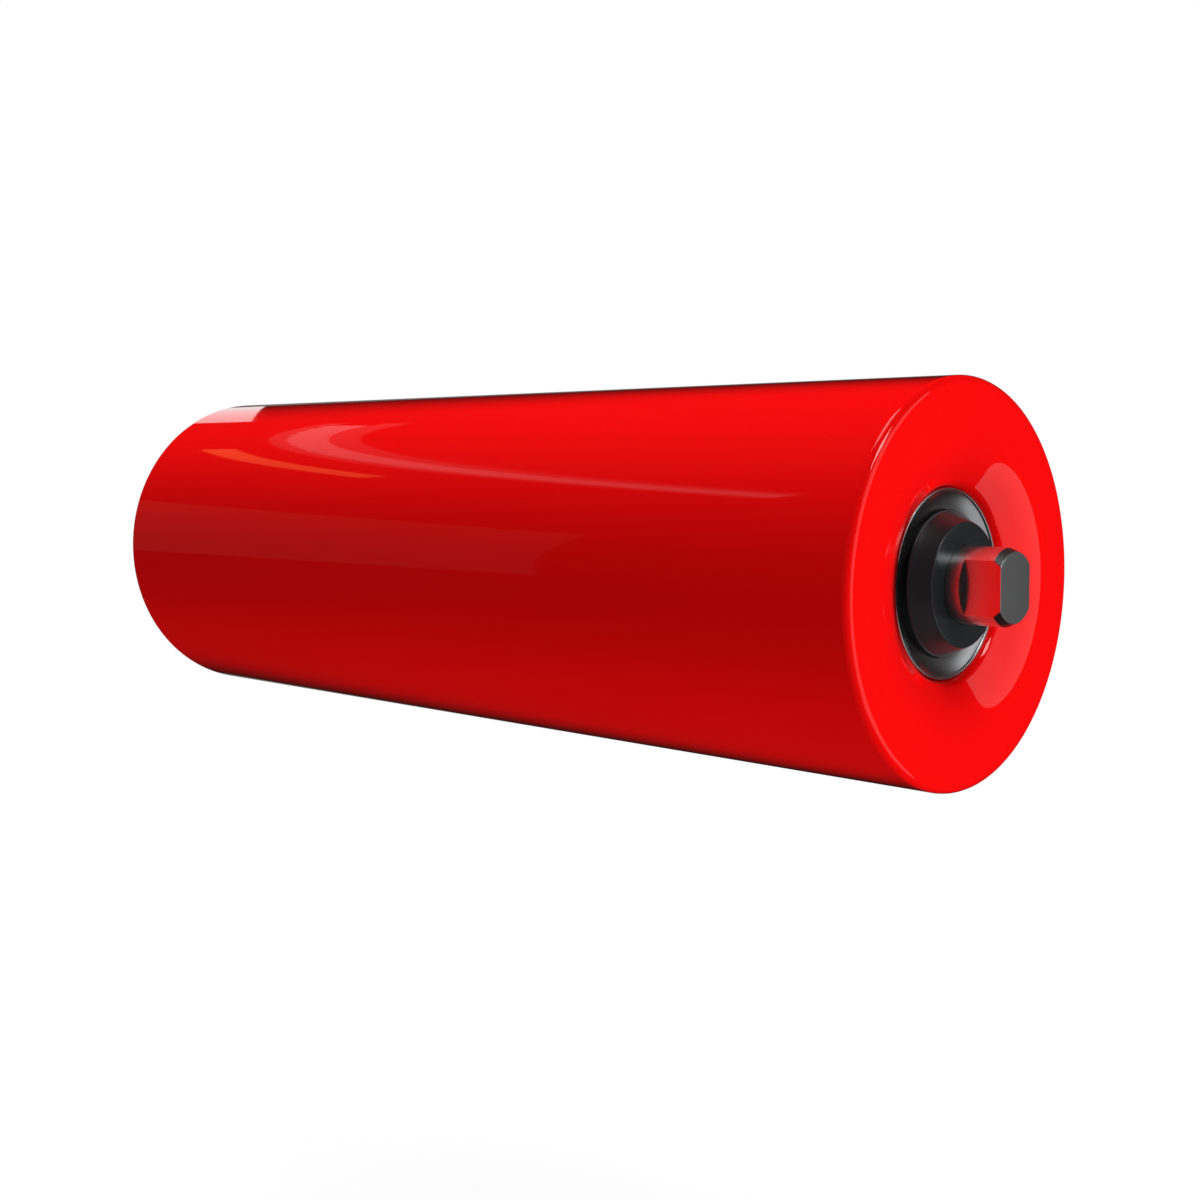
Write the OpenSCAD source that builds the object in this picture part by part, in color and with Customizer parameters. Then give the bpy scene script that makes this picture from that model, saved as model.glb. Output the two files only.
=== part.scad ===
// Steel conveyor roller on a fixed spindle: a tube with a pressed housing let into each end,
// a ball bearing in each housing, and a labyrinth of seals under a cover ring and a seal cap.
// The spindle lies along X and the origin is the middle of the roller, on its axis.
// Inside an end, a depth is measured from the end face of the shell towards the middle.

/* [Shell] */
// Outer diameter of the shell
shell_d = 133; // [127:1:159]
// Length of the shell over its two end faces
shell_len = 396; // [250:1:1400]
// Wall of the shell tube
shell_t = 4; // [3:0.5:6]
// Rounding of the shell's outer edge at each end
shell_edge_r = 2.6; // [0.5:0.1:2.8]

/* [End housing] */
// Sheet that the housing is pressed from
housing_t = 3.5; // [2.5:0.25:4]
// Diameter at which the flat face starts to fall towards the mouth
mouth_d = 102; // [98:1:106]
// Slope of the mouth, in degrees from the flat face
mouth_slope = 27; // [20:1:32]
// Radius of the bend between the flat face and the slope
mouth_bend_r = 30; // [20:1:32]
// Radius of the lip between the slope and the bearing bore
mouth_lip_r = 4.5; // [4.5:0.25:6]
// Length of the housing's rim inside the shell
rim_len = 18; // [12:1:30]
// Inside radius of the bend between the face and the rim
rim_bend_r = 4; // [1:0.5:6]
// Width of the shoulder that backs the bearing
shoulder_w = 4; // [3:0.25:4.5]

/* [Spindle] */
// Diameter of the spindle and bore of the bearings
spindle_d = 25; // [20:1:26]
// Length of spindle that stands out past each end face
spindle_out = 16.5; // [10:0.5:30]
// Distance across the two flats of a spindle end
flat_af = 18; // [14:0.5:19]
// Distance from the end face of the shell to the start of the flats
flat_gap = 4; // [2:0.5:8]
// Chamfer of the spindle end, across its radius
chamfer_w = 1.25; // [0.5:0.25:2]
// Chamfer of the spindle end, along its axis
chamfer_len = 2.4; // [1:0.2:4]

/* [Bearing] */
// Outer diameter of the bearing and bore of the housing
bearing_od = 62; // [60:1:64]
// Width of the bearing
bearing_w = 17; // [14:1:20]
// Depth of the bearing's outer side
bearing_depth = 28; // [26:0.5:34]
// Diameter over the shoulders of the inner ring
inner_land_d = 36.6; // [34:0.1:38]
// Diameter between the shoulders of the outer ring
outer_land_d = 52.7; // [51:0.1:54]
// Diameter of a ball
ball_d = 11.5; // [10:0.1:12]
// Number of balls in a bearing
ball_count = 7; // [6:1:8]
// Radial play between a ball and each raceway
ball_play = 0.05; // [0.02:0.01:0.1]
// Corner chamfer of the bearing rings
ring_chamfer = 1; // [0.5:0.1:1.5]
// Sheet that the ball cage is pressed from
cage_t = 0.9; // [0.6:0.1:1.2]
// Clearance between a ball and its cage pocket
pocket_play = 0.2; // [0.1:0.05:0.3]
// Clearance between the cage and the shoulders of both rings
cage_gap = 1.5; // [1:0.1:2]

/* [Circlip] */
// Thickness of the circlip that holds the bearing on the spindle
circlip_t = 1.2; // [1:0.1:1.5]
// Clearance of the circlip along its groove
circlip_play = 0.1; // [0.05:0.05:0.2]
// Depth of the circlip groove in the spindle
groove_depth = 0.55; // [0.4:0.05:0.8]
// Widest part of the circlip's band
circlip_w = 3; // [2.5:0.1:3.4]
// Radius of the circlip's two eyes
eye_r = 2; // [1.6:0.1:2.2]
// Diameter of the plier hole in each eye
eye_hole_d = 2; // [1.5:0.1:2.2]
// Gap between the circlip's ends
circlip_gap = 4; // [3:0.5:6]

/* [Cover ring] */
// Sheet that the cover ring is pressed from
cover_t = 1.2; // [0.8:0.1:1.5]
// Depth of the cover ring's front edge
cover_depth = 7.2; // [6:0.1:8]
// Fall of the dish from the ring's front edge to its outer rim
cover_rim_drop = 0.7; // [0.3:0.1:1.2]
// Diameter of the hole through the cover ring
cover_hole_d = 48; // [47:0.5:50]
// Depth of the dish at the hole
cover_hole_depth = 9.6; // [9:0.1:10]
// Radius of the dish's hollow section
dish_r = 12; // [9:1:30]
// Clearance between the collar round the hole and the fixed labyrinth
collar_gap = 0.8; // [0.5:0.1:1.2]

/* [Seal cap] */
// Diameter of the seal cap's front face
cap_face_d = 40.2; // [36:0.1:42]
// Depth of the seal cap's front face
cap_depth = 0.9; // [0:0.1:2]
// Diameter at the end of the cap's steep cone
cap_step_d = 44.1; // [42:0.1:46]
// Depth at the end of the cap's steep cone
cap_step_depth = 4.75; // [4:0.05:5.5]
// Depth of the cap's flange
flange_depth = 7; // [6.5:0.1:7.5]
// Thickness of the cap's flange
flange_t = 1; // [0.6:0.1:1.5]
// Running gap between the flange and the cover ring
flange_gap = 0.3; // [0.2:0.1:1]
// Wall of the hubs that hold the cap and the fixed labyrinth on the spindle
hub_t = 3.7; // [3:0.1:4]

/* [Labyrinth] */
// Depth of the fixed labyrinth's outer side
labyrinth_depth = 12; // [11.5:0.1:13]
// Thickness of the labyrinth webs
web_t = 2; // [1.5:0.1:2.2]
// Thickness of each labyrinth skirt
skirt_t = 1.3; // [1:0.1:1.4]
// Clearance between the ends of the skirts and the facing web
skirt_end_gap = 1.4; // [0.8:0.1:2]
// Wall of the turning labyrinth's seat in the housing
seat_t = 2; // [1.5:0.1:2.2]
// Length of the turning labyrinth's seat in the housing
seat_len = 8; // [5:0.5:8]
// Radial clearance of the turning labyrinth round the inner ring
web_gap = 1.2; // [0.8:0.1:1.4]
// Clearance between the fixed labyrinth and the circlip
hub_end_gap = 0.5; // [0.3:0.1:1]

/* [Inner seal] */
// Wall of the inner seal's seat in the housing
inner_seat_t = 1.8; // [1.2:0.1:2.5]
// Length of the inner seal's seat
inner_seat_len = 8; // [6:0.5:12]
// Thickness of the inner seal's web
inner_web_t = 2; // [1:0.25:3]
// Distance from the bearing to the inner seal's web
inner_web_gap = 3; // [1:0.25:4]
// Length of the inner seal's lip along the spindle
lip_len = 6; // [4:0.5:10]
// Thickness of the inner seal's lip
lip_t = 1.5; // [1:0.1:2.5]
// Running gap between the lip and the spindle
lip_gap = 0.3; // [0.2:0.05:0.5]

/* [Hidden] */
$fn = 96;

// Radii that several pieces share
shell_r = shell_d / 2;
seat_r = shell_r - shell_t;
bore_r = bearing_od / 2;
spindle_r = spindle_d / 2;
inner_land_r = inner_land_d / 2;
outer_land_r = outer_land_d / 2;
ball_r = ball_d / 2;
pitch_r = (inner_land_r + outer_land_r) / 2;
groove_r = spindle_r - groove_depth;
hub_r = spindle_r + hub_t;
cover_hole_r = cover_hole_d / 2;

// Depths that several pieces share
bearing_back = bearing_depth + bearing_w;
circlip_front = bearing_depth - circlip_t;
seat_front = bearing_depth - seat_len;
turning_web = bearing_depth - web_t;
collar_end = labyrinth_depth - collar_gap;

// Labyrinth skirts: numbered inwards from the housing, odd ones fixed and even ones turning,
// and spaced so that the fourth stands on the inner edge of the turning web
turning_web_r = inner_land_r + web_gap;
skirt_pitch = (bore_r - seat_t - turning_web_r) / 4;

// Radius of a raceway's section against that of the ball, as ball bearings have it
race_r = ball_r * 1.04;
// Room left past a solid by whatever cuts it
over = 1;

// Stands a section drawn as (radius, depth) at one end of the roller
module at_end(side) {
    mirror([side < 0 ? 1 : 0, 0, 0])
        translate([shell_len / 2, 0, 0]) rotate([0, -90, 0]) children();
}

// A rectangle of a section, from one radius and depth to another
module band(r0, d0, r1, d1) {
    translate([r0, d0]) square([r1 - r0, d1 - d0]);
}

// Section of a bearing ring of width w, from its shoulders to its seat, with c chamfers at the seat
module ring_section(r_land, r_seat, w, c) {
    s = sign(r_seat - r_land);
    polygon([[r_land, 0], [r_seat - s * c, 0], [r_seat, c], [r_seat, w - c], [r_seat - s * c, w],
        [r_land, w]]);
}

// Centre of the arc of radius r from p to q that lies to the left of the way from p to q
function arc_centre(p, q, r) =
    let (chord = q - p, half = norm(chord) / 2, side = [-chord.y, chord.x] / norm(chord))
    (p + q) / 2 + side * sqrt(r * r - half * half);

module shell_section() {
    difference() {
        band(seat_r, 0, shell_r, shell_len);
        for (end = [0, 1]) translate([0, end * shell_len]) mirror([0, end]) difference() {
            band(shell_r - shell_edge_r, -over, shell_r + over, shell_edge_r);
            translate([shell_r - shell_edge_r, shell_edge_r]) circle(shell_edge_r);
        }
    }
}

module shell_tube() {
    color("#e01014") at_end(1) rotate_extrude() shell_section();
}

// Points round a centre from angle a to angle b, in degrees from the outward way towards the axis
function bend_points(centre, r, a, b, steps = 9) = [for (i = [0 : steps])
    let (angle = a + (b - a) * i / steps) centre - r * [sin(angle), cos(angle)]];

module housing_section() {
    inner_sheet = bearing_back + housing_t;
    rim_in_r = seat_r - housing_t;
    rim_bend = [rim_in_r - rim_bend_r, housing_t + rim_bend_r];
    // The mouth's slope touches the arcs of its outer bend and of its lip, which sets the lip's depth
    mouth_bend = [mouth_d / 2, mouth_bend_r];
    lip_r = bore_r + mouth_lip_r;
    lip_depth = mouth_bend_r + (mouth_bend.x - lip_r) * tan(mouth_slope)
        - (mouth_bend_r - mouth_lip_r) / cos(mouth_slope);
    lip = [lip_r, lip_depth];
    polygon(concat(
        // Front: the rim, the flat face, the mouth, the bearing bore and the shoulder at its end
        [[seat_r, rim_len], [seat_r, 0]],
        bend_points(mouth_bend, mouth_bend_r, 0, mouth_slope),
        bend_points(lip, mouth_lip_r, mouth_slope, 90),
        [[bore_r, bearing_back], [bore_r - shoulder_w, bearing_back]],
        // Back of the same sheet, from the shoulder to the rim
        [[bore_r - shoulder_w, inner_sheet]],
        bend_points([bore_r, bearing_back], housing_t, 180, 270),
        bend_points(lip, mouth_lip_r - housing_t, 90, mouth_slope),
        bend_points(mouth_bend, mouth_bend_r - housing_t, mouth_slope, 0),
        bend_points(rim_bend, rim_bend_r, 0, -90),
        [[rim_in_r, rim_len]]));
}

module end_housing() {
    color("#e01014") rotate_extrude() housing_section();
}

// Outline of the spindle as (radius, distance from the middle), with a circlip groove at each end
module spindle_section() {
    end = shell_len / 2 + spindle_out;
    groove_in = shell_len / 2 - bearing_depth;
    groove_out = groove_in + circlip_t + circlip_play;
    half = [[spindle_r, groove_in], [groove_r, groove_in], [groove_r, groove_out],
        [spindle_r, groove_out], [spindle_r, end - chamfer_len], [spindle_r - chamfer_w, end],
        [0, end]];
    other_half = [for (i = [len(half) - 1 : -1 : 0]) [half[i].x, -half[i].y]];
    polygon(concat(half, other_half));
}

module spindle() {
    flat_len = spindle_out - flat_gap;
    color("#77797c") difference() {
        rotate([0, 90, 0]) rotate_extrude() spindle_section();
        for (end = [0, 180], side = [0, 180]) rotate([side, 0, end])
            translate([shell_len / 2 + flat_gap, flat_af / 2, -spindle_d])
                cube([flat_len + over, spindle_d, 2 * spindle_d]);
    }
}

module outer_ring() {
    color("#b9bcc0") translate([0, 0, bearing_depth]) rotate_extrude() difference() {
        ring_section(outer_land_r, bore_r, bearing_w, ring_chamfer);
        translate([pitch_r + ball_r + ball_play - race_r, bearing_w / 2]) circle(race_r);
    }
}

module inner_ring() {
    color("#b9bcc0") translate([0, 0, bearing_depth]) rotate_extrude() difference() {
        ring_section(inner_land_r, spindle_r, bearing_w, ring_chamfer);
        translate([pitch_r - ball_r - ball_play + race_r, bearing_w / 2]) circle(race_r);
    }
}

// Children at the centre of each ball of a bearing
module at_balls() {
    for (i = [0 : ball_count - 1]) rotate([0, 0, i * 360 / ball_count])
        translate([pitch_r, 0, bearing_depth + bearing_w / 2]) children();
}

module balls() {
    color("#d4d7da") at_balls() sphere(ball_r);
}

// The cage's two pressed halves as one solid: flat between the balls and cupped round each
module cage() {
    middle = bearing_depth + bearing_w / 2;
    pocket_r = ball_r + pocket_play;
    cage_in = inner_land_r + cage_gap;
    cage_out = outer_land_r - cage_gap;
    half_w = (cage_out - cage_in) / 2;
    color("#a8894f") difference() {
        union() {
            rotate_extrude() band(cage_in, middle - cage_t, cage_out, middle + cage_t);
            at_balls() rotate([0, 90, 0]) rotate_extrude() intersection() {
                circle(pocket_r + cage_t);
                band(0, -half_w, pocket_r + cage_t, half_w);
            }
        }
        at_balls() rotate([0, 90, 0]) sphere(pocket_r);
    }
}

// Snap ring for a shaft: a band that thins towards its two eyes
module circlip() {
    thin = circlip_w / 2;
    band_r = groove_r + (circlip_w + thin) / 2;
    band_shift = (circlip_w - thin) / 2;
    eye_x = groove_r + eye_r;
    eye_y = circlip_gap / 2 + eye_r;
    color("#4b4d50") translate([0, 0, circlip_front]) linear_extrude(circlip_t) difference() {
        union() {
            translate([-band_shift, 0]) circle(band_r);
            for (s = [-1, 1]) translate([eye_x, s * eye_y]) circle(eye_r);
        }
        circle(groove_r);
        translate([0, -circlip_gap / 2]) square([2 * spindle_r, circlip_gap]);
        for (s = [-1, 1]) translate([eye_x, s * eye_y]) circle(d = eye_hole_d);
    }
}

// Outer radius of the k-th labyrinth skirt
function skirt_r(k) = bore_r - seat_t - k * skirt_pitch + skirt_t;

// Skirts of the given numbers, from one depth to another
module skirts(numbers, d0, d1) {
    for (k = numbers) band(skirt_r(k) - skirt_t, d0, skirt_r(k), d1);
}

module turning_labyrinth() {
    skirt_front = labyrinth_depth + web_t + skirt_end_gap;
    color("#e8e4d8") rotate_extrude() {
        band(bore_r - seat_t, seat_front, bore_r, bearing_depth);
        band(turning_web_r, turning_web, bore_r, bearing_depth);
        skirts([2, 4], skirt_front, bearing_depth);
    }
}

module fixed_labyrinth() {
    web_back = labyrinth_depth + web_t;
    hub_end = circlip_front - circlip_play - hub_end_gap;
    color("#2f3133") rotate_extrude() {
        band(spindle_r, labyrinth_depth, hub_r, hub_end);
        band(spindle_r, labyrinth_depth, skirt_r(1), web_back);
        skirts([1, 3, 5], labyrinth_depth, turning_web - skirt_end_gap);
    }
}

module inner_seal() {
    seal_r = bore_r - shoulder_w;
    web_front = bearing_back + inner_web_gap;
    lip_r = spindle_r + lip_gap;
    color("#3a3a3c") rotate_extrude() {
        band(seal_r - inner_seat_t, bearing_back, seal_r, bearing_back + inner_seat_len);
        band(lip_r, web_front, seal_r, web_front + inner_web_t);
        band(lip_r, web_front, lip_r + lip_t, web_front + lip_len);
    }
}

module cover_section() {
    rim_r = bore_r - cover_t / 2;
    dish_out = [bore_r - cover_t, cover_depth + cover_rim_drop];
    dish_in = [cover_hole_r, cover_hole_depth];
    dish_centre = arc_centre(dish_out, dish_in, dish_r);
    // Wall pressed into the housing, with its front edge rolled over
    band(bore_r - cover_t, cover_depth + cover_t / 2, bore_r, seat_front);
    translate([rim_r, cover_depth + cover_t / 2]) circle(cover_t / 2);
    // Dish
    intersection() {
        translate(dish_centre) difference() {
            circle(dish_r + cover_t);
            circle(dish_r);
        }
        band(cover_hole_r, cover_depth, rim_r, collar_end);
    }
    // Collar round the hole
    difference() {
        band(cover_hole_r, cover_hole_depth, cover_hole_r + cover_t, collar_end);
        translate(dish_centre) circle(dish_r);
    }
}

module cover_ring() {
    color("#c9ccd0") rotate_extrude() cover_section();
}

module seal_cap() {
    flange_r = cover_hole_r - flange_gap;
    flange_back = flange_depth + flange_t;
    color("#26292b") rotate_extrude() polygon([[spindle_r, cap_depth], [cap_face_d / 2, cap_depth],
        [cap_step_d / 2, cap_step_depth], [flange_r, flange_depth], [flange_r, flange_back],
        [hub_r, flange_back], [hub_r, labyrinth_depth], [spindle_r, labyrinth_depth]]);
}

shell_tube();
at_end(-1) end_housing();  // left_end_housing
at_end(1) end_housing();  // right_end_housing
spindle();
at_end(-1) outer_ring();  // left_bearing_outer_ring
at_end(1) outer_ring();  // right_bearing_outer_ring
at_end(-1) inner_ring();  // left_bearing_inner_ring
at_end(1) inner_ring();  // right_bearing_inner_ring
at_end(-1) cage();  // left_bearing_cage
at_end(1) cage();  // right_bearing_cage
at_end(-1) balls();  // left_bearing_balls
at_end(1) balls();  // right_bearing_balls
at_end(-1) circlip();  // left_circlip
at_end(1) circlip();  // right_circlip
at_end(-1) inner_seal();  // left_inner_seal
at_end(1) inner_seal();  // right_inner_seal
at_end(-1) turning_labyrinth();  // left_turning_labyrinth
at_end(1) turning_labyrinth();  // right_turning_labyrinth
at_end(-1) fixed_labyrinth();  // left_fixed_labyrinth
at_end(1) fixed_labyrinth();  // right_fixed_labyrinth
at_end(-1) cover_ring();  // left_cover_ring
at_end(1) cover_ring();  // right_cover_ring
at_end(-1) seal_cap();  // left_seal_cap
at_end(1) seal_cap();  // right_seal_cap
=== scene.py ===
"""Dresses a red steel conveyor roller and sets up the studio that it is shown in.

The roller lies along X, with its middle at the origin. A depth is measured from an end face of the
shell towards the middle, and a bearing from the front (-Y) towards the right-hand end (+X).
"""

import math

import bmesh
import bpy
from bpy.props import (
    FloatProperty,
    FloatVectorProperty,
    IntProperty,
    PointerProperty,
)
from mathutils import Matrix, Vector


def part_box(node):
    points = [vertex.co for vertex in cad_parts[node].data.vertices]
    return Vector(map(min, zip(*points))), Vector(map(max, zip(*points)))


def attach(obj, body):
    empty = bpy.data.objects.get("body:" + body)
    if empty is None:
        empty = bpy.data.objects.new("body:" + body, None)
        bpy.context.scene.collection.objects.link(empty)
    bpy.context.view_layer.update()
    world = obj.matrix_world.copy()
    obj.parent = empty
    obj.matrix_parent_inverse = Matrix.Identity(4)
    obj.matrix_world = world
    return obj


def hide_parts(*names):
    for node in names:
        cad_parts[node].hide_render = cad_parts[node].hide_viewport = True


bl_info = {
    "name": "Conveyor roller",
    "version": (1, 0, 0),
    "blender": (4, 5, 0),
    "location": "View3D > Sidebar > Roller",
    "description": "Finishes a conveyor roller's pieces and sets up its studio",
    "category": "Object",
}

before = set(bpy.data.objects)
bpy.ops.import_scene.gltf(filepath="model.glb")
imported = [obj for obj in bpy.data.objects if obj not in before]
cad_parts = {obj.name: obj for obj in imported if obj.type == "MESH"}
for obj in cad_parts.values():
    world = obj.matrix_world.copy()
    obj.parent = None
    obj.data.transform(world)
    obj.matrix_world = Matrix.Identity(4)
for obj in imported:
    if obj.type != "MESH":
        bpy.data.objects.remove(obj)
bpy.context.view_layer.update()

SIDES = {"left": -1, "right": 1}
SHELL_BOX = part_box("shell_tube")
SPINDLE_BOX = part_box("spindle")
COVER_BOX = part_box("right_cover_ring")
CAP_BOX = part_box("right_seal_cap")
SHELL_FACE = SHELL_BOX[1].x
SHELL_RADIUS = min(SHELL_BOX[1].y, SHELL_BOX[1].z)

WELD_DISTANCE = 1e-7  # metres within which turned points are one
SMOOTH_ANGLE = math.radians(40)  # corners sharper than this stay sharp
CARD_STEPS = 24  # faces along a curved card
SENSOR_WIDTH = 36  # millimetres


def length(name, default, description):
    """A size of the object, in metres."""
    return FloatProperty(
        name=name, description=description, default=default, min=0, precision=5, unit="LENGTH"
    )


def colour(name, default, description):
    """A scene-linear colour."""
    return FloatVectorProperty(
        name=name, description=description, default=default, size=3, min=0, max=1, subtype="COLOR"
    )


def amount(name, default, description, top=1):
    """A plain number from 0 to top."""
    return FloatProperty(name=name, description=description, default=default, min=0, max=top)


# Settings


class RollerSizes(bpy.types.PropertyGroup):
    """Sizes of the turned and pressed pieces."""

    steps: IntProperty(name="Steps", description="Faces round a turned piece", default=192, min=24)
    shell_wall: length("Shell wall", 0.004, "Wall of the shell tube")
    shell_edge: length("Shell edge", 0.0026, "Rounding of the shell's outer edge")
    sheet: length("Housing sheet", 0.0035, "Sheet that the end housing is pressed from")
    mouth: length("Mouth start", 0.051, "Radius at which the end face starts to fall to the mouth")
    mouth_bend: length("Mouth bend", 0.03, "Radius of the bend from the face to the mouth's slope")
    mouth_slope: FloatProperty(
        name="Mouth slope",
        description="Slope of the mouth from the flat face",
        default=math.radians(27),
        unit="ROTATION",
        subtype="ANGLE",
    )
    lip: length("Lip", 0.0045, "Radius of the lip between the slope and the bore")
    rim: length("Rim length", 0.018, "Length of the housing's rim inside the shell")
    rim_bend: length("Rim bend", 0.004, "Inside radius of the bend at the rim")
    bore: length("Bore radius", 0.031, "Radius of the bearing bore")
    bearing_back: length("Bearing back", 0.045, "Depth of the bearing's inner side")
    shoulder: length("Shoulder", 0.004, "Width of the shoulder behind the bearing")
    flat_across: length("Across flats", 0.018, "Distance across a spindle end's two flats")
    flat_gap: length("Flat gap", 0.004, "Distance from the shell's end face to the flats")
    chamfer_width: length("Chamfer width", 0.00125, "Spindle chamfer across its radius")
    chamfer_length: length("Chamfer length", 0.0024, "Spindle chamfer along its axis")
    groove_place: length("Groove place", 0.028, "Depth of the circlip groove's inner side")
    groove_width: length("Groove width", 0.0013, "Width of the circlip groove")
    groove_depth: length("Groove depth", 0.00055, "Depth of the circlip groove")
    cover_sheet: length("Cover sheet", 0.0012, "Sheet that the cover ring is pressed from")
    cover_rim_drop: length("Cover rim drop", 0.0007, "Fall from the ring's edge to its dish")
    cover_hole: length("Cover hole radius", 0.024, "Radius of the hole in the cover ring")
    cover_hole_depth: length("Cover hole depth", 0.0096, "Depth of the dish at the hole")
    cover_collar: length("Cover collar", 0.0112, "Depth of the end of the collar round the hole")
    dish: length("Dish radius", 0.012, "Radius of the dish's hollow section")
    cap_face: length("Cap face radius", 0.0201, "Radius of the seal cap's front face")
    cap_step: length("Cap step radius", 0.02205, "Radius at the end of the cap's steep cone")
    cap_step_depth: length("Cap step depth", 0.00475, "Depth at the end of the steep cone")
    flange_depth: length("Flange depth", 0.007, "Depth of the cap's flange")
    flange: length("Flange", 0.001, "Thickness of the cap's flange")
    hub_wall: length("Hub wall", 0.0037, "Wall of the cap's hub")
    edge: length("Edge", 0.00015, "Width of the broken edges of machined pieces")


class RollerColours(bpy.types.PropertyGroup):
    """Colours of the finishes."""

    paint: colour("Paint", (0.93, 0.003, 0.0035), "Red enamel of the shell and its ends")
    steel: colour("Steel", (0.76, 0.765, 0.77), "Bright drawn steel of the spindle")
    cover: colour("Cover", (0.5, 0.51, 0.52), "Plated sheet of the cover rings")
    cap: colour("Cap", (0.014, 0.016, 0.018), "Moulded plastic of the seal caps")
    bearing: colour("Bearing", (0.55, 0.56, 0.57), "Ground steel of the bearing rings")
    ball: colour("Ball", (0.72, 0.73, 0.74), "Polished steel of the balls")
    cage: colour("Cage", (0.42, 0.3, 0.12), "Passivated sheet of the ball cages")
    spring: colour("Spring steel", (0.07, 0.072, 0.078), "Blackened steel of the circlips")
    turning: colour("Turning labyrinth", (0.66, 0.63, 0.54), "Natural nylon of the turning rings")
    fixed: colour("Fixed labyrinth", (0.03, 0.031, 0.033), "Black nylon of the fixed labyrinth")
    rubber: colour("Rubber", (0.018, 0.018, 0.019), "Rubber of the inner seals")


class StudioSettings(bpy.types.PropertyGroup):
    """Camera, floor and lights."""

    camera_place: FloatVectorProperty(
        name="Camera place",
        description="Where the camera stands",
        default=(0.4540, -0.4387, 0.0391),
        size=3,
        unit="LENGTH",
        subtype="TRANSLATION",
    )
    camera_bearing: FloatProperty(
        name="Camera bearing",
        description="Turn of the view to the left of straight back",
        default=0.7601,
        unit="ROTATION",
        subtype="ANGLE",
    )
    camera_dip: FloatProperty(
        name="Camera dip",
        description="Fall of the view below the horizontal",
        default=0.0583,
        unit="ROTATION",
        subtype="ANGLE",
    )
    lens: FloatProperty(name="Lens", description="Focal length in millimetres", default=46.9, min=1)
    shift: FloatProperty(name="Shift", description="Rise of the view in its frame", default=-0.0393)
    floor_drop: length("Floor drop", 0.3, "Distance from the roller's axis down to the floor")
    floor_size: length("Floor size", 60.0, "Side of the floor")
    room: length("Room", 6.0, "Distance to the studio's dark walls")
    card_distance: length("Card distance", 3.0, "Distance to the reflector cards")
    lamp_distance: length("Lamp distance", 4.0, "Distance to the lamps")
    ambient: amount("Ambient", 0.04, "Strength of the world's light on the object")
    level: amount("Level", 0.97, "Overall level of the lamps", top=4)


# Outlines and solids


def arc(centre, radius, start, end, steps=12):
    """Points (x, radius) of an arc, with its angles in degrees from +X towards the outside."""
    angles = [math.radians(start + (end - start) * i / steps) for i in range(steps + 1)]
    return [(centre[0] + radius * math.cos(a), centre[1] + radius * math.sin(a)) for a in angles]


def turn(outline, steps):
    """A closed outline of (x, radius) points turned into a solid round the X axis."""
    bm = bmesh.new()
    ring = [bm.verts.new((x, 0, radius)) for x, radius in outline]
    edges = [bm.edges.new(pair) for pair in zip(ring, ring[1:] + ring[:1])]
    bmesh.ops.spin(
        bm,
        geom=ring + edges,
        cent=(0, 0, 0),
        axis=(1, 0, 0),
        angle=math.tau,
        steps=steps,
        use_merge=True,
    )
    bmesh.ops.remove_doubles(bm, verts=bm.verts, dist=WELD_DISTANCE)
    bmesh.ops.dissolve_degenerate(bm, edges=bm.edges, dist=WELD_DISTANCE)
    bmesh.ops.delete(bm, geom=[e for e in bm.edges if e.is_wire], context="EDGES")
    bmesh.ops.recalc_face_normals(bm, faces=bm.faces)
    return bm


def break_edges(bm, width, least_angle=20):
    """Bevels each edge that is sharper than an angle in degrees."""
    sharp = [
        e for e in bm.edges if e.is_manifold and e.calc_face_angle(0) > math.radians(least_angle)
    ]
    bmesh.ops.bevel(
        bm,
        geom=sharp,
        offset=width,
        offset_type="OFFSET",
        segments=2,
        profile=0.5,
        affect="EDGES",
        material=-1,
        clamp_overlap=True,
    )


def piece(name, bm, body, slot, material, *nodes):
    """Makes a piece of a bmesh, smooth but for its corners, and sets it in place of CAD nodes."""
    mesh = bpy.data.meshes.new(name)
    bm.to_mesh(mesh)
    bm.free()
    mesh.shade_smooth()
    mesh.set_sharp_from_angle(angle=SMOOTH_ANGLE)
    mesh.materials.append(material)
    made = bpy.data.objects.new(name, mesh)
    bpy.context.scene.collection.objects.link(made)
    weighted = made.modifiers.new("Weighted normals", "WEIGHTED_NORMAL")
    weighted.keep_sharp = True
    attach(made, body)
    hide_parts(*nodes)


def both_ends(skin, node, outline, steps, finishing, edge=0):
    """Turns an outline of (depth, radius) points into a piece for each end of the shell.

    skin and node are the ends of the piece's and the CAD node's names, and finishing is the
    body that it rides on, its slot, which nothing uses, and its material.
    """
    for name, side in SIDES.items():
        placed = [(side * (SHELL_FACE - depth), radius) for depth, radius in outline]
        solid = turn(placed, steps)
        if edge:
            break_edges(solid, edge)
        piece(f"{name}_{skin}", solid, *finishing, f"{name}_{node}")


# Node tools


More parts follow.
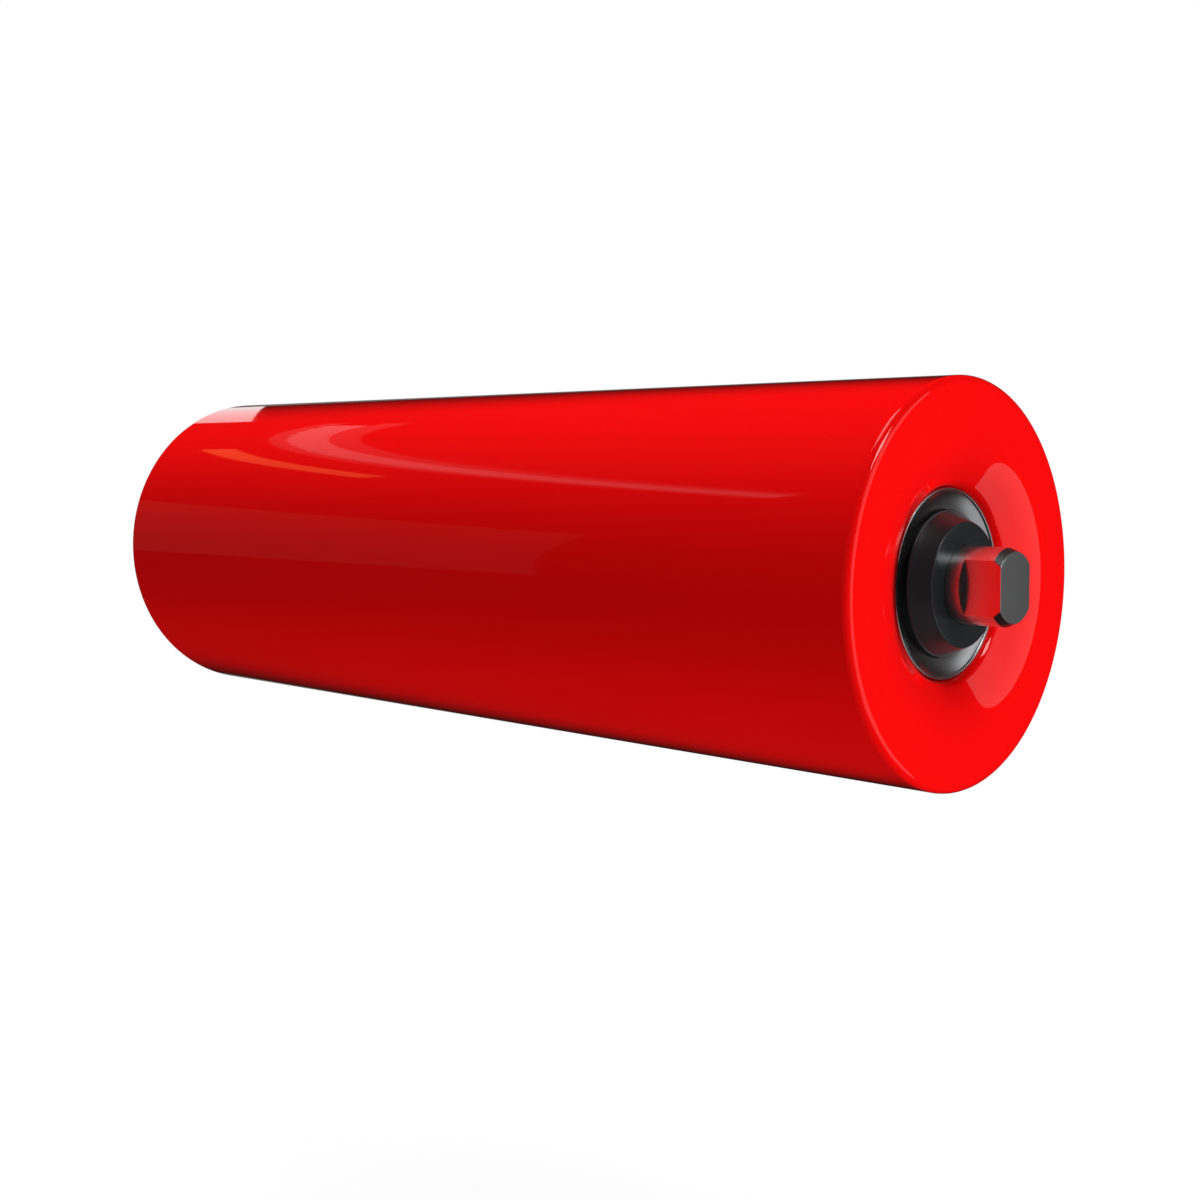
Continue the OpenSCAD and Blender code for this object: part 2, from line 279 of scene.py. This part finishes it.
class Nodes:
    """A node tree with short ways to add and link nodes."""

    def __init__(self, tree):
        self.tree = tree

    def add(self, kind, inputs=None, **settings):
        """A node of a kind, with its settings and its inputs' values or links."""
        node = self.tree.nodes.new(kind)
        for key, value in settings.items():
            setattr(node, key, value)
        for key, value in (inputs or {}).items():
            if isinstance(value, bpy.types.NodeSocket):
                self.tree.links.new(value, node.inputs[key])
            else:
                node.inputs[key].default_value = value
        return node

    def group(self, name, build, inputs):
        """The outputs of a shared node group, with its inputs' values or links."""
        tree = bpy.data.node_groups.get(name) or build(name)
        return self.add("ShaderNodeGroup", inputs, node_tree=tree).outputs

    def calc(self, operation, first, second):
        """The result of a math node."""
        return self.add("ShaderNodeMath", {0: first, 1: second}, operation=operation).outputs[0]

    def scaled(self, vector, factor):
        """A vector or a colour times a factor."""
        inputs = {0: vector, 3: factor}
        return self.add("ShaderNodeVectorMath", inputs, operation="SCALE").outputs[0]

    def link(self, node, outputs):
        """Links outputs to a node's inputs by name."""
        for key, output in outputs.items():
            self.tree.links.new(output, node.inputs[key])


def new_group(name, inputs, outputs):
    """A shader node group with named inputs (name: default) and outputs (name: socket type)."""
    tree = bpy.data.node_groups.new(name, "ShaderNodeTree")
    for key, value in inputs.items():
        kind = "NodeSocketColor" if isinstance(value, tuple) else "NodeSocketFloat"
        socket = tree.interface.new_socket(key, in_out="INPUT", socket_type=kind)
        socket.default_value = value
    for key, kind in outputs.items():
        tree.interface.new_socket(key, in_out="OUTPUT", socket_type=kind)
    nodes = Nodes(tree)
    return nodes, nodes.add("NodeGroupInput").outputs, nodes.add("NodeGroupOutput")


def vary(nodes, source, result, noise):
    """Makes a group's colour and gloss follow a noise of 0 to 1, as far as its strength says."""
    swing = nodes.calc("MULTIPLY", nodes.calc("SUBTRACT", noise, 0.5), source["Strength"])
    share = nodes.calc("ADD", swing, 1.0)
    shaded = nodes.scaled(source["Colour"], share)
    gloss = nodes.calc("MULTIPLY", source["Gloss"], share)
    nodes.link(result, {"Colour": shaded, "Roughness": gloss})


def build_mottle(name):
    """Soft unevenness of a colour and of a gloss."""
    nodes, source, result = new_group(
        name,
        {"Colour": (0.5, 0.5, 0.5, 1), "Scale": 20.0, "Strength": 0.1, "Gloss": 0.3},
        {"Colour": "NodeSocketColor", "Roughness": "NodeSocketFloat"},
    )
    place = nodes.add("ShaderNodeTexCoord")
    noise = nodes.add(
        "ShaderNodeTexNoise",
        {"Vector": place.outputs["Object"], "Scale": source["Scale"], "Detail": 4.0},
    )
    vary(nodes, source, result, noise.outputs["Fac"])
    return nodes.tree


def build_turning_marks(name):
    """Fine rings that a tool leaves on a piece turned about the X axis."""
    nodes, source, result = new_group(
        name,
        {"Pitch": 4000.0, "Strength": 0.2, "Gloss": 0.3, "Colour": (0.5, 0.5, 0.5, 1)},
        {
            "Height": "NodeSocketFloat",
            "Colour": "NodeSocketColor",
            "Roughness": "NodeSocketFloat",
        },
    )
    place = nodes.add("ShaderNodeTexCoord")
    parts = nodes.add("ShaderNodeSeparateXYZ", {0: place.outputs["Object"]}).outputs
    across = nodes.add("ShaderNodeCombineXYZ", {"X": 0.0, "Y": parts["Y"], "Z": parts["Z"]})
    radius = nodes.add("ShaderNodeVectorMath", {0: across.outputs[0]}, operation="LENGTH")
    along = nodes.add("ShaderNodeCombineXYZ", {"X": parts["X"], "Y": radius.outputs["Value"]})
    rings = nodes.scaled(along.outputs[0], source["Pitch"])
    angle = nodes.calc("ARCTAN2", parts["Z"], parts["Y"])
    drift = nodes.add("ShaderNodeCombineXYZ", {"Z": angle})
    path = nodes.add("ShaderNodeVectorMath", {0: rings, 1: drift.outputs[0]}, operation="ADD")
    noise = nodes.add(
        "ShaderNodeTexNoise", {"Vector": path.outputs[0], "Scale": 1.0, "Detail": 3.0}
    )
    nodes.link(result, {"Height": noise.outputs["Fac"]})
    vary(nodes, source, result, noise.outputs["Fac"])
    return nodes.tree


def build_grain(name):
    """Height of a fine skin such as orange peel or a moulded surface."""
    nodes, source, result = new_group(name, {"Scale": 800.0}, {"Height": "NodeSocketFloat"})
    place = nodes.add("ShaderNodeTexCoord")
    noise = nodes.add(
        "ShaderNodeTexNoise",
        {"Vector": place.outputs["Object"], "Scale": source["Scale"], "Detail": 2.0},
    )
    nodes.link(result, {"Height": noise.outputs["Fac"]})
    return nodes.tree


def new_material(name):
    """A material with its nodes and its Principled shader."""
    material = bpy.data.materials.new(name)
    material.use_nodes = True
    nodes = Nodes(material.node_tree)
    return material, nodes, material.node_tree.nodes["Principled BSDF"]


def add_bump(nodes, shader, height, depth):
    """Bumps a shader by a height output of 0 to 1 that stands for a depth in metres."""
    bump = nodes.add("ShaderNodeBump", {"Strength": 1.0, "Distance": depth, "Height": height})
    nodes.link(shader, {"Normal": bump.outputs["Normal"]})


def set_constants(shader, constants):
    """Sets the shader's inputs that are the same all over."""
    for key, value in constants.items():
        shader.inputs[key].default_value = value


def skinned(name, tint, gloss, mottle, grain, constants=None):
    """A finish with an even skin, such as enamel, plastic or rubber.

    mottle is its (scale, strength), and grain the (scale, depth in metres) of its bump.
    """
    material, nodes, shader = new_material(name)
    uneven = nodes.group(
        "Mottle",
        build_mottle,
        {"Colour": (*tint, 1), "Scale": mottle[0], "Strength": mottle[1], "Gloss": gloss},
    )
    skin = nodes.group("Grain", build_grain, {"Scale": grain[0]})
    nodes.link(shader, {"Base Color": uneven["Colour"], "Roughness": uneven["Roughness"]})
    add_bump(nodes, shader, skin["Height"], grain[1])
    set_constants(shader, constants or {})
    return material


def turned(name, tint, gloss, marks):
    """A metal finish with the fine rings that turning or spinning leaves.

    marks is (pitch, strength, depth in metres) of the rings.
    """
    material, nodes, shader = new_material(name)
    rings = nodes.group(
        "Turning marks",
        build_turning_marks,
        {"Colour": (*tint, 1), "Pitch": marks[0], "Strength": marks[1], "Gloss": gloss},
    )
    nodes.link(shader, {"Base Color": rings["Colour"], "Roughness": rings["Roughness"]})
    add_bump(nodes, shader, rings["Height"], marks[2])
    set_constants(shader, {"Metallic": 1.0})
    return material


def shade_towards_outline(name, facings, **settings):
    """A skinned finish with painted shade that darkens its colour towards its outline.

    facings are how far the surface turns away from the view, from 0 to 1, where the painted shade
    starts and where it ends.
    """
    material = skinned(name, **settings)
    nodes = Nodes(material.node_tree)
    shader = nodes.tree.nodes["Principled BSDF"]
    plain = shader.inputs["Base Color"].links[0].from_socket
    # Painted shade: the colour darkens where the surface turns away from the view.
    turned_away = nodes.add("ShaderNodeLayerWeight", {"Blend": 0.5})
    share = nodes.add(
        "ShaderNodeMapRange",
        {
            "Value": turned_away.outputs["Facing"],
            "From Min": facings[0],
            "From Max": facings[1],
            "To Min": 1.0,
            "To Max": 0.0,
        },
        interpolation_type="SMOOTHSTEP",
    )
    nodes.link(shader, {"Base Color": nodes.scaled(plain, share.outputs["Result"])})
    return material


def finish(name, build, **settings):
    """The material of that name, built on first use."""
    return bpy.data.materials.get(name) or build(name, **settings)


def enamel():
    """Glossy red enamel with a faint orange peel, and painted shade that darkens it towards its
    outline.
    """
    return finish(
        "Red enamel",
        shade_towards_outline,
        tint=bpy.context.scene.roller_colours.paint,
        # Painted shade towards the outline, starting at a facing of 0.7 and full at 1.
        facings=(0.7, 1.0),
        gloss=0.06,
        mottle=(9.0, 0.03),
        grain=(900.0, 1e-6),
        constants={"Coat Weight": 1.0, "Coat Roughness": 0.03, "Specular IOR Level": 0.0},
    )


def bright_steel():
    """Bright drawn bar with turning marks."""
    tint = bpy.context.scene.roller_colours.steel
    return finish("Bright steel", turned, tint=tint, gloss=0.29, marks=(5000.0, 0.15, 4e-7))


def plated_sheet():
    """Bright plated sheet, spun and polished."""
    tint = bpy.context.scene.roller_colours.cover
    return finish("Plated sheet", turned, tint=tint, gloss=0.25, marks=(3000.0, 0.12, 6e-7))


def cap_plastic():
    """Black semi-gloss plastic."""
    return finish(
        "Black plastic",
        skinned,
        tint=bpy.context.scene.roller_colours.cap,
        gloss=0.26,
        mottle=(120.0, 0.15),
        grain=(2500.0, 2e-6),
        constants={"Specular IOR Level": 0.6},
    )


def dress(node, material):
    """Gives a CAD node a finish."""
    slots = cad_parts[node].material_slots
    if not slots:
        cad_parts[node].data.materials.append(material)
    for slot in slots:
        slot.material = material


# Pieces


class RollerStep:
    """What every operator of the roller shares."""

    bl_options = {"REGISTER", "UNDO"}

    def execute(self, context):
        self.make(context.scene.roller_sizes)
        return {"FINISHED"}


class ROLLER_OT_shell(RollerStep, bpy.types.Operator):
    """Turns the shell tube, with its ends rounded over"""

    bl_idname = "roller.shell"
    bl_label = "Shell"

    def make(self, sizes):
        left, right = SHELL_BOX[0].x, SHELL_BOX[1].x
        edge = sizes.shell_edge
        inside = SHELL_RADIUS - sizes.shell_wall
        outline = [
            *arc((right - edge, SHELL_RADIUS - edge), edge, 0, 90),
            *arc((left + edge, SHELL_RADIUS - edge), edge, 90, 180),
            (left, inside),
            (right, inside),
        ]
        solid = turn(outline, sizes.steps)
        piece("shell_skin", solid, "shell", "red_paint", enamel(), "shell_tube")


class ROLLER_OT_housings(RollerStep, bpy.types.Operator):
    """Presses the two end housings: face, rolled mouth, bearing bore and rim"""

    bl_idname = "roller.housings"
    bl_label = "End housings"

    def make(self, sizes):
        seat = SHELL_RADIUS - sizes.shell_wall
        sheet, bore, back = sizes.sheet, sizes.bore, sizes.bearing_back
        lip_place = bore + sizes.lip
        lip_depth = (
            sizes.mouth_bend
            + (sizes.mouth - lip_place) * math.tan(sizes.mouth_slope)
            - (sizes.mouth_bend - sizes.lip) / math.cos(sizes.mouth_slope)
        )
        mouth_centre = (sizes.mouth_bend, sizes.mouth)
        lip_centre = (lip_depth, lip_place)
        turn_to = 180 + math.degrees(sizes.mouth_slope)
        bend_centre = (sheet + sizes.rim_bend, seat - sheet - sizes.rim_bend)
        outline = [
            (0, seat),
            *arc(mouth_centre, sizes.mouth_bend, 180, turn_to, 16),
            *arc(lip_centre, sizes.lip, turn_to, 270, 16),
            (back, bore),
            (back, bore - sizes.shoulder),
            (back + sheet, bore - sizes.shoulder),
            *arc((back, bore), sheet, 0, 90, 6),
            *arc(lip_centre, sizes.lip - sheet, 270, turn_to, 12),
            *arc(mouth_centre, sizes.mouth_bend - sheet, turn_to, 180, 16),
            *arc(bend_centre, sizes.rim_bend, 180, 90, 8),
            (sizes.rim, seat - sheet),
            (sizes.rim, seat),
        ]
        finishing = ("shell", "red_paint", enamel())
        both_ends("housing_skin", "end_housing", outline, sizes.steps, finishing)


class ROLLER_OT_cover_rings(RollerStep, bpy.types.Operator):
    """Presses the two dished cover rings, with rolled rims"""

    bl_idname = "roller.cover_rings"
    bl_label = "Cover rings"

    def make(self, sizes):
        front, back = SHELL_FACE - COVER_BOX[1].x, SHELL_FACE - COVER_BOX[0].x
        sheet, bore, hole = sizes.cover_sheet, sizes.bore, sizes.cover_hole
        roll = sheet / 2
        dish_outer = Vector((front + sizes.cover_rim_drop, bore - sheet))
        dish_inner = Vector((sizes.cover_hole_depth, hole))
        chord = dish_inner - dish_outer
        rise = math.sqrt(sizes.dish**2 - (chord.length / 2) ** 2)
        centre = (dish_outer + dish_inner) / 2 + Vector((chord.y, -chord.x)).normalized() * rise

        def dish_arc(arc_radius, start, end):
            """The dish's arc from one radius of the ring to another."""
            angles = [math.degrees(math.asin((r - centre.y) / arc_radius)) for r in (start, end)]
            return arc(centre, arc_radius, *angles)

        outline = [
            (back, bore),
            *arc((front + roll, bore - roll), roll, 90, 270, 12),
            *dish_arc(sizes.dish, bore - sheet, hole),
            (sizes.cover_collar, hole),
            (sizes.cover_collar, hole + sheet),
            *dish_arc(sizes.dish + sheet, hole + sheet, bore - sheet),
            (back, bore - sheet),
        ]
        finishing = ("shell", "cover_metal", plated_sheet())
        both_ends("cover_skin", "cover_ring", outline, sizes.steps, finishing)


class ROLLER_OT_seal_caps(RollerStep, bpy.types.Operator):
    """Turns the two stepped seal caps"""

    bl_idname = "roller.seal_caps"
    bl_label = "Seal caps"

    def make(self, sizes):
        front, back = SHELL_FACE - CAP_BOX[1].x, SHELL_FACE - CAP_BOX[0].x
        spindle, flange = SPINDLE_BOX[1].z, CAP_BOX[1].z
        hub = spindle + sizes.hub_wall
        outline = [
            (front, spindle),
            (front, sizes.cap_face),
            (sizes.cap_step_depth, sizes.cap_step),
            (sizes.flange_depth, flange),
            (sizes.flange_depth + sizes.flange, flange),
            (sizes.flange_depth + sizes.flange, hub),
            (back, hub),
            (back, spindle),
        ]
        finishing = ("spindle", "cap_plastic", cap_plastic())
        both_ends("cap_skin", "seal_cap", outline, sizes.steps, finishing, 2 * sizes.edge)


class ROLLER_OT_spindle(RollerStep, bpy.types.Operator):
    """Turns the spindle, with its circlip grooves, and mills two flats on each end"""

    bl_idname = "roller.spindle"
    bl_label = "Spindle"

    def make(self, sizes):
        tip, radius = SPINDLE_BOX[1].x, SPINDLE_BOX[1].z
        shoulder = SHELL_FACE + sizes.flat_gap
        groove = SHELL_FACE - sizes.groove_place
        half = [
            (tip, 0),
            (tip, radius - sizes.chamfer_width),
            (tip - sizes.chamfer_length, radius),
            (shoulder, radius),
            (groove + sizes.groove_width, radius),
            (groove + sizes.groove_width, radius - sizes.groove_depth),
            (groove, radius - sizes.groove_depth),
            (groove, radius),
        ]
        solid = turn(half + [(-x, r) for x, r in reversed(half)], sizes.steps)
        for side in SIDES.values():
            for front in (-1, 1):
                self.mill(solid, side, front, shoulder, sizes.flat_across / 2)
        break_edges(solid, sizes.edge)
        piece("spindle_bar", solid, "spindle", "spindle_steel", bright_steel(), "spindle")

    def mill(self, bm, side, front, shoulder, height):
        """Cuts one flat beyond a shoulder and closes it."""
        near = 1e-6
        beyond = [f for f in bm.faces if all(side * v.co.x > shoulder - near for v in f.verts)]
        around = {g for f in beyond for g in (*f.edges, *f.verts)}
        bmesh.ops.bisect_plane(
            bm,
            geom=[*beyond, *around],
            dist=near,
            plane_co=(0, front * height, 0),
            plane_no=(0, front, 0),
        )
        waste = []
        for face in bm.faces:
            middle = face.calc_center_median()
            if side * middle.x > shoulder + near and front * middle.y > height + near:
                waste.append(face)
        bmesh.ops.delete(bm, geom=waste, context="FACES")
        corners = [
            v
            for v in bm.verts
            if abs(side * v.co.x - shoulder) < near and abs(front * v.co.y - height) < near
        ]
        chord = bmesh.ops.contextual_create(bm, geom=corners)["edges"]
        rim = [e for e in bm.edges if len(e.link_faces) == 1]
        step = [e for e in rim if all(abs(side * v.co.x - shoulder) < near for v in e.verts)]
        flat = [e for e in rim if all(abs(front * v.co.y - height) < near for v in e.verts)]
        for loop in (step, flat):
            bmesh.ops.contextual_create(bm, geom=[*loop, *chord])
        bmesh.ops.recalc_face_normals(bm, faces=bm.faces)


class ROLLER_OT_inner_parts(RollerStep, bpy.types.Operator):
    """Gives the bearings, circlips, labyrinths and inner seals their finishes"""

    bl_idname = "roller.inner_parts"
    bl_label = "Inner parts"

    def make(self, sizes):
        tints = bpy.context.scene.roller_colours
        metal = {"Metallic": 1.0}
        ground = finish(
            "Ground steel", turned, tint=tints.bearing, gloss=0.22, marks=(6000.0, 0.2, 1e-6)
        )
        finishes = {
            "bearing_outer_ring": ground,
            "bearing_inner_ring": ground,
            "bearing_balls": finish(
                "Ball steel", skinned, tint=tints.ball, gloss=0.08,
                mottle=(300.0, 0.3), grain=(4000.0, 2e-7), constants=metal,
            ),
            "bearing_cage": finish(
                "Cage sheet", skinned, tint=tints.cage, gloss=0.35,
                mottle=(400.0, 0.2), grain=(2500.0, 3e-6), constants=metal,
            ),
            "circlip": finish(
                "Spring steel", skinned, tint=tints.spring, gloss=0.4,
                mottle=(500.0, 0.3), grain=(3000.0, 3e-6), constants=metal,
            ),
            "turning_labyrinth": finish(
                "Natural nylon", skinned, tint=tints.turning, gloss=0.45,
                mottle=(150.0, 0.08), grain=(2200.0, 5e-6),
            ),
            "fixed_labyrinth": finish(
                "Black nylon", skinned, tint=tints.fixed, gloss=0.42,
                mottle=(150.0, 0.15), grain=(2200.0, 5e-6),
            ),
            "inner_seal": finish(
                "Seal rubber", skinned, tint=tints.rubber, gloss=0.6,
                mottle=(200.0, 0.2), grain=(1800.0, 1e-5),
            ),
        }
        for name in SIDES:
            for part, material in finishes.items():
                dress(f"{name}_{part}", material)


# Studio


def glowing(name, strength, tint=(1, 1, 1)):
    """A material that only glows."""
    material = bpy.data.materials.new(name)
    material.use_nodes = True
    nodes = Nodes(material.node_tree)
    nodes.tree.nodes.clear()
    glow = nodes.add("ShaderNodeEmission", {"Color": (*tint, 1), "Strength": strength})
    nodes.add("ShaderNodeOutputMaterial", {"Surface": glow.outputs[0]})
    return material


def stage_object(name, bm, material, shown_to=()):
    """A stage object that only some kinds of ray meet; with none named, all of them do."""
    mesh = bpy.data.meshes.new(name)
    bm.to_mesh(mesh)
    bm.free()
    mesh.materials.append(material)
    made = bpy.data.objects.new(name, mesh)
    bpy.context.scene.collection.objects.link(made)
    for kind in ("camera", "diffuse", "glossy", "transmission", "shadow", "volume_scatter"):
        setattr(made, f"visible_{kind}", not shown_to or kind in shown_to)


def direction(bearing, elevation=0.0):
    """Unit vector of a bearing and an elevation in degrees."""
    b, e = math.radians(bearing), math.radians(elevation)
    return Vector((math.sin(b) * math.cos(e), -math.cos(b) * math.cos(e), math.sin(e)))


def sweep_card(name, side, axis, turn_by, glow, rise=0.0):
    """A card swept from a side's two points round an axis, in degrees, which only gloss shows."""
    bm = bmesh.new()
    corners = [bm.verts.new(point) for point in side]
    edge = bm.edges.new(corners)
    bmesh.ops.spin(
        bm,
        geom=[*corners, edge],
        cent=(0, 0, 0),
        axis=axis,
        angle=math.radians(turn_by),
        steps=CARD_STEPS,
        dvec=(0, 0, rise / CARD_STEPS),
    )
    stage_object(name, bm, glow, {"glossy"})


def card(name, bearings, elevations, strength, tint=(1, 1, 1), rise=0.0):
    """A curved reflector card round the roller.

    bearings and elevations are its two sides, in degrees. rise is how much its far end climbs.
    """
    distance = bpy.context.scene.studio.card_distance
    start = direction(bearings[0]) * distance
    side = [start + Vector((0, 0, distance * math.tan(math.radians(e)))) for e in elevations]
    glow = glowing(name, strength, tint)
    sweep_card(name, side, (0, 0, 1), bearings[1] - bearings[0], glow, rise)


def end_card(name, openings, turns, strength):
    """A curved card beyond the left end, part of a cone round the X axis.

    openings are its edges' angles from the axis, and turns its sides' angles above +Y, in degrees.
    """
    distance = bpy.context.scene.studio.card_distance
    t = math.radians(turns[0])
    side = []
    for opening in openings:
        a = math.radians(opening)
        reach = Vector((-math.cos(a), math.sin(a) * math.cos(t), math.sin(a) * math.sin(t)))
        side.append(reach * distance + Vector((SHELL_BOX[0].x, 0, 0)))
    sweep_card(name, side, (1, 0, 0), turns[1] - turns[0], glowing(name, strength))


def lamp(name, bearing, elevation, irradiance, spread, in_gloss=False):
    """A square lamp that faces the roller and fills a spread of degrees there.

    An irradiance of 1 shows a colour as it is written on a surface that faces the lamp.
    """
    studio = bpy.context.scene.studio
    distance = studio.lamp_distance
    light = bpy.data.lights.new(name, "AREA")
    light.shape = "SQUARE"
    light.size = 2 * distance * math.tan(math.radians(spread) / 2)
    light.energy = studio.level * irradiance * math.pi**2 * distance**2
    made = bpy.data.objects.new(name, light)
    made.location = direction(bearing, elevation) * distance
    made.rotation_euler = (-made.location).to_track_quat("-Z", "Y").to_euler()
    made.visible_glossy = in_gloss
    bpy.context.scene.collection.objects.link(made)


def seen_rays(nodes):
    """1 for what is seen directly, in gloss or through glass, and 0 for what only lights."""
    path = nodes.add("ShaderNodeLightPath")
    direct = path.outputs["Is Camera Ray"]
    for kind in ("Is Glossy Ray", "Is Transmission Ray"):
        direct = nodes.calc("MAXIMUM", direct, path.outputs[kind])
    return direct


class ROLLER_OT_stage(RollerStep, bpy.types.Operator):
    """Sets the camera, the white surroundings, the pale floor, the lamps and the cards"""

    bl_idname = "roller.stage"
    bl_label = "Stage"

    def execute(self, context):
        settings = context.scene.studio
        context.scene.view_settings.view_transform = "Standard"
        self.camera(context.scene, settings)
        self.world(context.scene, settings)
        self.floor(settings)
        self.lamps()
        self.surroundings(settings)
        return {"FINISHED"}

    def camera(self, scene, settings):
        data = bpy.data.cameras.new("camera")
        data.sensor_width = SENSOR_WIDTH
        data.lens = settings.lens
        data.shift_y = settings.shift
        camera = bpy.data.objects.new("camera", data)
        camera.location = settings.camera_place
        camera.rotation_euler = (math.pi / 2 - settings.camera_dip, 0, settings.camera_bearing)
        scene.collection.objects.link(camera)
        scene.camera = camera

    def world(self, scene, settings):
        """White where it is seen, directly or in gloss, and dim as a light."""
        scene.world = bpy.data.worlds.new("white studio")
        scene.world.use_nodes = True
        nodes = Nodes(scene.world.node_tree)
        background = nodes.tree.nodes["Background"]
        background.inputs["Color"].default_value = (1, 1, 1, 1)
        seen = seen_rays(nodes)
        strength = nodes.add(
            "ShaderNodeMapRange", {"Value": seen, "To Min": settings.ambient, "To Max": 1.0}
        )
        nodes.tree.links.new(strength.outputs["Result"], background.inputs["Strength"])

    def floor(self, settings):
        """A pale floor that keeps a faint shadow near the roller and shows white further off."""
        bm = bmesh.new()
        bmesh.ops.create_grid(bm, x_segments=1, y_segments=1, size=settings.floor_size / 2)
        bmesh.ops.translate(bm, vec=(0, 0, -settings.floor_drop), verts=bm.verts)
        material = bpy.data.materials.new("Pale floor")
        material.use_nodes = True
        nodes = Nodes(material.node_tree)
        nodes.tree.nodes.clear()
        plain = nodes.add("ShaderNodeBsdfDiffuse", {"Color": (0.9, 0.9, 0.9, 1)})
        white = nodes.add("ShaderNodeEmission", {"Color": (1, 1, 1, 1), "Strength": 1.0})
        place = nodes.add("ShaderNodeTexCoord")
        reach = nodes.add(
            "ShaderNodeVectorMath", {0: place.outputs["Object"]}, operation="LENGTH"
        )
        bright = nodes.add(
            "ShaderNodeMapRange",
            {"Value": reach.outputs["Value"], "From Min": 0.4, "From Max": 1.6, "To Min": 0.9},
            interpolation_type="SMOOTHSTEP",
        )
        share = nodes.calc("MULTIPLY", seen_rays(nodes), bright.outputs["Result"])
        mixed = nodes.add(
            "ShaderNodeMixShader", {0: share, 1: plain.outputs[0], 2: white.outputs[0]}
        )
        nodes.add("ShaderNodeOutputMaterial", {"Surface": mixed.outputs[0]})
        stage_object("floor", bm, material, {"camera"})

    def lamps(self):
        """The lamps, each with its bearing, elevation, irradiance and spread."""
        lamp("right_top_lamp", 90, 60, 0.38, 40)
        lamp("left_top_lamp", -90, 55, 1.18, 40)
        lamp("low_lamp", 54, -50, 0.88, 50)
        lamp("back_lamp", 130, -12, 0.6, 40)
        lamp("top_lamp", -90, 73, 0.12, 24, in_gloss=True)
        lamp("key_lamp", 87, 48, 0.2, 17, in_gloss=True)
        lamp("rim_lamp", 112.5, 25.5, 0.12, 9, in_gloss=True)

    def surroundings(self, settings):
        """Dark walls and bright cards that the enamel's and the metal's gloss shows."""
        bm = bmesh.new()
        bmesh.ops.create_cube(bm, size=2 * settings.room)
        stage_object("dark_walls", bm, glowing("Dark walls", 0.008), {"glossy"})
        card("side_card", (92, 137.5), (-36, 30), 0.6)
        card("backdrop_card", (-165, -118), (-16, 12.5), 0.2)
        end_card("end_card", (27, 35), (14, 61), 1.3)
        card("streak_card_above", (-106, -46), (35.7, 36.9), 0.12, rise=0.3)
        card("streak_card", (-104, -46), (33.9, 35.7), 0.45, rise=0.3)
        card("streak_card_below", (-106, -46), (33.1, 33.9), 0.12, rise=0.3)
        card("warm_card", (-86, -67), (31.2, 32.6), 1.2, tint=(1, 0.3, 0.1))
        card("front_card", (-68, -44), (-4, 16), 0.06)


OPERATORS = (
    ROLLER_OT_stage,
    ROLLER_OT_shell,
    ROLLER_OT_housings,
    ROLLER_OT_cover_rings,
    ROLLER_OT_seal_caps,
    ROLLER_OT_spindle,
    ROLLER_OT_inner_parts,
)


class ROLLER_PT_panel(bpy.types.Panel):
    """Lists the steps that dress the roller"""

    bl_idname = "ROLLER_PT_panel"
    bl_label = "Conveyor roller"
    bl_space_type = "VIEW_3D"
    bl_region_type = "UI"
    bl_category = "Roller"

    def draw(self, context):
        for operator in OPERATORS:
            self.layout.operator(operator.bl_idname)
        scene = context.scene
        for group in (scene.roller_sizes, scene.roller_colours, scene.studio):
            for key in group.__annotations__:
                self.layout.prop(group, key)


CLASSES = (RollerSizes, RollerColours, StudioSettings, *OPERATORS, ROLLER_PT_panel)


def register():
    for item in CLASSES:
        bpy.utils.register_class(item)
    bpy.types.Scene.roller_sizes = PointerProperty(type=RollerSizes)
    bpy.types.Scene.roller_colours = PointerProperty(type=RollerColours)
    bpy.types.Scene.studio = PointerProperty(type=StudioSettings)


def unregister():
    for key in ("roller_sizes", "roller_colours", "studio"):
        delattr(bpy.types.Scene, key)
    for item in reversed(CLASSES):
        bpy.utils.unregister_class(item)


def main():
    """Registers the add-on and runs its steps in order."""
    register()
    for operator in OPERATORS:
        group, step = operator.bl_idname.split(".")
        getattr(getattr(bpy.ops, group), step)()


if __name__ == "__main__":
    main()
